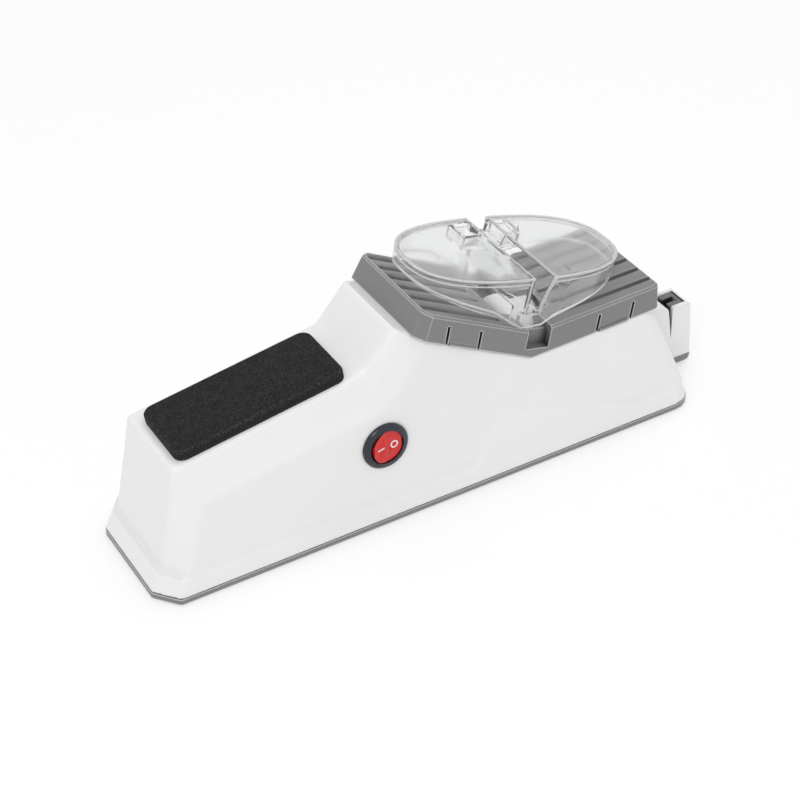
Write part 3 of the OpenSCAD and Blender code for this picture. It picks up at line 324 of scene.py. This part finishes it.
def black_foam():
    m = Mat("black_foam", (0.012, 0.012, 0.013), 0.9)
    m.p.inputs["Specular IOR Level"].default_value = 0.2
    m.color_from(m.noise(1500, 3, 0.8), (0.006, 0.006, 0.007), (0.04, 0.04, 0.042), 0.42, 0.72)
    m.rough_from(m.noise(300, 4), 0.72, 0.95)
    m.bump(m.noise(2400, 4, 0.7), 0.00008)
    # Painted shade in corners and a painted highlight on the pad's edges.
    m.paint_shade_and_highlight(3, 0.6, 1.4, 2.6)
    return m


def abrasive():
    m = Mat("white_abrasive", (0.86, 0.855, 0.83), 0.85)
    m.color_from(m.noise(2200, 4, 0.7), (0.8, 0.795, 0.775), (0.94, 0.938, 0.925))
    m.bump(m.cells(2600), 0.00012)
    return m


def metal(name, color, rough):
    """Metal with a fine grain along its length."""
    m = Mat(name, color, rough, Metallic=1.0)
    grain = m.noise(300, 3, stretch=(1, 1, 30))
    m.rough_from(grain, rough - 0.08, rough + 0.1)
    m.color_from(m.noise(80, 3), tuple(c * 0.93 for c in color), color)
    m.bump(grain, 0.00001)
    return m


def clear_plastic(name, milk, rough, ior, frost=None):
    """Clear moulded plastic with a share of milky white, which lets light through to what lies behind.

    frost gives the share of white and the roughness of faces that look up."""
    m = Mat(name, (0.985, 0.99, 0.995), rough, Transmission_Weight=1.0, IOR=ior)
    m.bump(m.noise(35, 2), 0.00008, 0.35)
    through = m.node("BsdfTranslucent", {"Color": MILK_WHITE})
    body = m.node("BsdfDiffuse", {"Color": MILK_WHITE})
    white_part = m.node("MixShader", {0: MILK_BODY_SHARE, 1: through.outputs[0], 2: body.outputs[0]})
    haze = m.node("MixShader", {0: milk, 1: m.p.outputs[0], 2: white_part.outputs[0]})
    if frost:
        normal = m.node("NewGeometry").outputs["Normal"]
        up = m.node("VectorMath", {0: normal, 1: HEAD.to_3x3() @ UP}, operation="DOT_PRODUCT")
        ends = {"From Min": FROST_FROM, "From Max": FROST_TO}
        top = m.node("MapRange", {"Value": up.outputs["Value"], **ends}).outputs[0]
        m.rough_from(top, rough, frost[1])
        share = m.node("MapRange", {"Value": top, "To Min": milk, "To Max": frost[0]})
        m.t.links.new(share.outputs[0], haze.inputs[0])
    shade = m.node("BsdfTransparent", {"Color": SHADOW_TINT})
    for_shadow = m.node("LightPath").outputs["Is Shadow Ray"]
    final = m.node("MixShader", {0: for_shadow, 1: haze.outputs[0], 2: shade.outputs[0]})
    m.t.links.new(final.outputs[0], m.out.inputs["Surface"])
    return m


clear = clear_plastic("clear_plastic", 0.04, 0.02, 1.46, frost=(0.12, 0.1))
# Clear plastic made much whiter than the cover's, to paint highlights along the cover's edges.
painted_highlight_clear = clear_plastic("clear_plastic_painted_highlight", 0.6, 0.1, 1.46)
faint_clear = clear_plastic("clear_plastic_thin", 0.0, 0.05, 1.03)
paint = moulded("white_paint", grey(0.85), 0.4, grain=1500)
foam = black_foam()
BY_SLOT = {
    "white_body": white_gloss(),
    "grey_plastic": grey_satin(),
    "dark_plastic": dark_satin(),
    "black_plastic": moulded("black_gloss_plastic", (0.012, 0.015, 0.024), 0.22, spread=0.04),
    "red_plastic": red_gloss(),
    "clear_plastic": clear,
    "rubber": moulded("black_rubber", (0.025, 0.025, 0.026), 0.7, grain=2500, depth=0.00004),
    "foam": foam,
    "abrasive": abrasive(),
    "ceramic": moulded("ceramic_blade", (0.8, 0.77, 0.7), 0.4),
    "aluminium": metal("turned_aluminium", (0.75, 0.76, 0.78), 0.28),
    "steel": metal("satin_steel", (0.62, 0.63, 0.65), 0.3),
    "iron": metal("dark_iron", (0.1, 0.1, 0.11), 0.5),
    "brass": metal("brass", (0.75, 0.52, 0.2), 0.3),
    "wire": moulded("wire_insulation", (0.35, 0.03, 0.03), 0.45),
}
SLOT_OF = {part["node"]: part["material_slot"] for part in frame["record"]["subparts"]}
BODY_OF = {node: body for body, names in frame["record"]["behaviour"]["bodies"].items() for node in names}


def finish_nodes():
    for name, obj in nodes.items():
        obj.data.materials.clear()
        obj.data.materials.append(BY_SLOT[SLOT_OF[name]].m)


def modifier(obj, kind, **attrs):
    m = obj.modifiers.new(kind.lower(), kind)
    for k, v in attrs.items():
        setattr(m, k, v)


def piece(name, data, material, body):
    """A new object that rides a body and takes the finish it is given."""
    obj = bpy.data.objects.new(name, data)
    bpy.context.scene.collection.objects.link(obj)
    data.materials.clear()
    data.materials.append(material.m)
    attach(obj, body)
    return obj


def mesh_of(bm, name):
    mesh = bpy.data.meshes.new(name)
    bm.to_mesh(mesh)
    bm.free()
    return mesh


def copy_of(node):
    """The solid's own form in a new mesh, with its flat faces whole again."""
    bm = bmesh.new()
    bm.from_mesh(nodes[node].data)
    bmesh.ops.remove_doubles(bm, verts=bm.verts, dist=WELD)
    bmesh.ops.dissolve_limit(bm, angle_limit=FLAT, verts=bm.verts, edges=bm.edges)
    return mesh_of(bm, node + "_form")


def smooth(mesh, sharp):
    """Smooth shading, with edges past the given angle kept crisp."""
    for f in mesh.polygons:
        f.use_smooth = True
    mesh.set_sharp_from_angle(angle=math.radians(sharp))


def rounded(node, sharp=SHARP):
    """A moulding like its solid, with smooth curves; its finish rounds the edges."""
    mesh = copy_of(node)
    smooth(mesh, sharp)
    obj = piece(node + "_moulding", mesh, BY_SLOT[SLOT_OF[node]], BODY_OF[node])
    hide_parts(node)
    return obj


def housing():
    """The housing with its edges rounded: even quads, then a few rounds of smoothing."""
    shell = nodes["upper_housing"]
    modifier(shell, "REMESH", mode="VOXEL", voxel_size=HOUSING_GRID, use_smooth_shade=True)
    modifier(shell, "SMOOTH", factor=HOUSING_EASE, iterations=HOUSING_ROUNDS)


def guide_cap():
    rounded("guide_cap", sharp=CAP_SHARP)


def plain_mouldings():
    """The pieces that show and need no more than smooth curves."""
    for node in ("hand_housing", "hand_insert", "hand_base", "base_plate", "switch_body", "switch_rocker",
                 "grinding_wheel", "dc_jack", "rubber_feet"):
        rounded(node)


def oval_point(turn, inset, z):
    """A point of the cover's outline in the head's frame, turn in degrees, z a height or a rule for x."""
    c = math.cos(math.radians(turn))
    s = math.sin(math.radians(turn))
    x = COVER_X + math.copysign((COVER_HALF_L - inset) * abs(c) ** (2 / COVER_POWER), c)
    y = math.copysign((COVER_HALF_W - inset) * abs(s) ** (2 / COVER_POWER), s)
    return Vector((x, y, z(x) if callable(z) else z))


def oval_y(x, inset):
    """Half width of the cover's outline at x."""
    share = abs((x - COVER_X) / (COVER_HALF_L - inset)) ** COVER_POWER
    return (COVER_HALF_W - inset) * (1 - share) ** (1 / COVER_POWER)


def rim_z(x):
    """Height of the cover's lower edge over the vee."""
    flank = RIM_GAP + RIM_SHARE * abs(x)
    nose = NOSE_Z + max(0, NOSE_X0 - x, x - NOSE_X1) * NOSE_SLOPE
    near = NOSE_X0 - NOSE_REACH < x < NOSE_X1 + NOSE_REACH
    return min(flank, nose) if near else flank


def lobe_line(side, inset, z):
    """The outline of one half of the cover's top, from one end of its slot edge to the other."""
    cut = SLOT_X0 - BEAD_TO_SLOT if side < 0 else SLOT_X1 + BEAD_TO_SLOT
    y = oval_y(cut, inset)
    start = 0 if side < 0 else -180
    ring = [oval_point(t, inset, z) for t in range(start, start + 360, TURN_STEP)]
    arc = [p for p in ring if side * (p.x - cut) > BEAD_TO_SLOT]
    return [Vector((cut, -side * y, z)), *arc, Vector((cut, side * y, z))]


def bead(name, points, radius, closed=False):
    """A round bead of the cover along a line of points in the head's frame, in whitened clear plastic that
    paints a highlight along the edge.
    """
    curve = bpy.data.curves.new(name, "CURVE")
    curve.dimensions = "3D"
    curve.bevel_depth = radius * MM
    curve.bevel_resolution = BEAD_ROUNDING
    spline = curve.splines.new("POLY")
    spline.points.add(len(points) - 1)
    for at, p in zip(spline.points, points):
        at.co = (*((HEAD @ p) * MM), 1)
    spline.use_cyclic_u = closed
    piece(name, curve, painted_highlight_clear, "cover")


def cover_beads():
    """The bright lines of the cover, painted highlights on rounded beads: its lower rim, the two steps of its
    top edge, the slot's corners.
    """
    rim = [oval_point(t, RIM_BEAD_IN, rim_z) for t in range(0, 360, TURN_STEP)]
    bead("cover_rim_bead", rim, RIM_BEAD_R, closed=True)
    for side, name in ((-1, "left"), (1, "right")):
        top = lobe_line(side, TOP_BEAD_IN, COVER_H - TOP_BEAD_DOWN)
        bead("cover_top_bead_" + name, top, TOP_BEAD_R, closed=True)
        step = lobe_line(side, STEP_BEAD_IN, COVER_H - STEP_BEAD_DOWN)
        bead("cover_step_bead_" + name, step, STEP_BEAD_R)
    high = COVER_H - SLOT_BEAD_DOWN
    left_x = SLOT_X0 - SLOT_BEAD_X
    left = [(left_x, SLOT_LOW_Z), (left_x, high)]
    low_x = SLOT_LOW_X1 + SLOT_BEAD_X
    right = [(low_x, SLOT_LOW_Z), (low_x, SLOT_NECK_Z), (SLOT_X1 + SLOT_BEAD_X, high)]
    for name, line, radius in (("left", left, SLOT_BEAD_R), ("right", right, WIDE_BEAD_R)):
        points = [Vector((x, SLOT_BEAD_IN - oval_y(x, 0), z)) for x, z in line]
        bead("cover_slot_bead_" + name, points, radius)


def dust_cover():
    """The clear cover. Its legs hardly show, so they have a finish of their own."""
    cover = rounded("dust_cover", sharp=COVER_SHARP)
    cover.data.materials.append(faint_clear.m)
    back = HEAD.inverted()
    legs = ((LEG_X, COVER_H - COVER_T / 2), (SLOT_X0 - COVER_T, SLOT_LOW_Z))
    for f in cover.data.polygons:
        spots = [back @ (cover.data.vertices[i].co / MM) for i in f.vertices]
        for x0, top_z in legs:
            if all(x0 - TOUCH < p.x < x0 + COVER_T + TOUCH and p.z < top_z + TOUCH for p in spots):
                f.material_index = 1


def foam_pad():
    """The foam pad: a flat slab with soft edges, swollen a little past its solid."""
    mesh = copy_of("grip_pad")
    top = max(mesh.polygons, key=lambda f: f.area).normal
    slope = math.atan2(abs(top.x), abs(top.z))
    up = Vector((-math.sin(slope), 0, math.cos(slope)))
    along = Vector((math.cos(slope), 0, math.sin(slope)))
    low = min(v.co.dot(up) for v in mesh.vertices)
    for v in mesh.vertices:
        if v.co.dot(up) - low > PAD_T * MM / 3:
            v.co += up * PAD_MORE * MM
        v.co += along * PAD_ALONG * MM
        v.co.y -= PAD_FRONT * MM
    smooth(mesh, PAD_SHARP)
    obj = piece("grip_pad_foam", mesh, foam, "body")
    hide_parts("grip_pad")


def mark_place(side):
    """Where a mark of the rocker lies, its floor at z = 0."""
    reach = ROCKER_HALF * MARK_SHARE
    pivot = Matrix.Translation((0, 0, PIVOT_Z)) @ Matrix.Rotation(HALF_THROW, 4, "Y")
    crest = Matrix.Translation((side * reach, 0, BEZEL_T * CREST_SHARE - PIVOT_Z))
    lean = Matrix.Rotation(-side * HALF_THROW, 4, "Y")
    floor_z = Matrix.Translation((0, 0, reach * math.tan(HALF_THROW) - MARK_DEEP))
    return SWITCH @ pivot @ crest @ lean @ floor_z


def mark(name, side, outer, inner=None):
    """White paint in a mark of the rocker, between its outer and its inner outline."""
    place = mark_place(side)
    bm = bmesh.new()
    rings = [[bm.verts.new(place @ Vector((x, y, z)) * MM) for x, y in line]
             for z in (PAINT_GAP, MARK_DEEP - PAINT_GAP) for line in (outer, inner) if line]
    loops = [rings[0], rings[1], rings[3], rings[2]] if inner else rings
    n = len(outer)
    for a, b in zip(loops, loops[1:] + loops[:1] if inner else loops[1:]):
        for i in range(n):
            bm.faces.new((a[i], b[i], b[(i + 1) % n], a[(i + 1) % n]))
    if not inner:
        for ring in rings:
            bm.faces.new(ring)
    bmesh.ops.recalc_face_normals(bm, faces=bm.faces)
    piece(name, mesh_of(bm, name), paint, "rocker")


def circle(r, n=32):
    return [(r * math.cos(math.tau * i / n), r * math.sin(math.tau * i / n)) for i in range(n)]


def marks():
    """The bar and the ring of the rocker."""
    bar = [(x * MARK_L / 2, y * MARK_W / 2) for x, y in ((-1, -1), (1, -1), (1, 1), (-1, 1))]
    mark("mark_on", -1, bar)
    mark("mark_off", 1, circle(MARK_L / 2), circle(MARK_L / 2 - MARK_W))


def seen(tree):
    """1 for rays from the camera, or reflected or passed on by the object, and 0 for plain light."""
    path = tree.nodes.new("ShaderNodeLightPath")
    total = path.outputs["Is Camera Ray"]
    for name in ("Is Glossy Ray", "Is Transmission Ray"):
        both = tree.nodes.new("ShaderNodeMath")
        both.operation = "MAXIMUM"
        tree.links.new(total, both.inputs[0])
        tree.links.new(path.outputs[name], both.inputs[1])
        total = both.outputs[0]
    return total


def white_floor():
    """A white floor that keeps a share of the object's shadow."""
    m = Mat("pale_floor", grey(FLOOR_WHITE), 0.9)
    m.p.inputs["Specular IOR Level"].default_value = 0.1
    glow = m.node("Emission")
    share = m.node("Math", {0: seen(m.t), 1: 1 - SHADOW_SHARE}, operation="MULTIPLY")
    mix = m.node("MixShader", {0: share.outputs[0], 1: m.p.outputs[0], 2: glow.outputs[0]})
    m.t.links.new(mix.outputs[0], m.out.inputs["Surface"])
    mesh = bpy.data.meshes.new("floor")
    corners = [Vector((x, y, 0)) * FLOOR_HALF for x, y in ((-1, -1), (1, -1), (1, 1), (-1, 1))]
    mesh.from_pydata(corners, [], [(0, 1, 2, 3)])
    mesh.materials.append(m.m)
    floor = bpy.data.objects.new("floor", mesh)
    bpy.context.scene.collection.objects.link(floor)


def sky():
    """Even light, with a white background for all that is seen."""
    world = bpy.data.worlds.new("studio")
    bpy.context.scene.world = world
    world.use_nodes = True
    tree = world.node_tree
    lit = tree.nodes["Background"]
    lit.inputs["Color"].default_value = (1, 1, 1, 1)
    lit.inputs["Strength"].default_value = SKY
    shown = tree.nodes.new("ShaderNodeBackground")
    shown.inputs["Color"].default_value = (1, 1, 1, 1)
    either = tree.nodes.new("ShaderNodeMixShader")
    tree.links.new(seen(tree), either.inputs[0])
    tree.links.new(lit.outputs[0], either.inputs[1])
    tree.links.new(shown.outputs[0], either.inputs[2])
    tree.links.new(either.outputs[0], tree.nodes["World Output"].inputs["Surface"])


def lamp(name, at, size, power):
    data = bpy.data.lights.new(name, "AREA")
    data.shape = "RECTANGLE"
    data.size = size
    data.size_y = size
    data.energy = power
    obj = bpy.data.objects.new(name, data)
    obj.location = at
    obj.rotation_euler = (AIM - Vector(at)).to_track_quat("-Z", "Y").to_euler()
    bpy.context.scene.collection.objects.link(obj)


camera()
finish_nodes()
housing()
guide_cap()
dust_cover()
plain_mouldings()
cover_beads()
foam_pad()
marks()
white_floor()
sky()
for each in LAMPS:
    lamp(*each)

bpy.context.scene.view_settings.view_transform = "Standard"
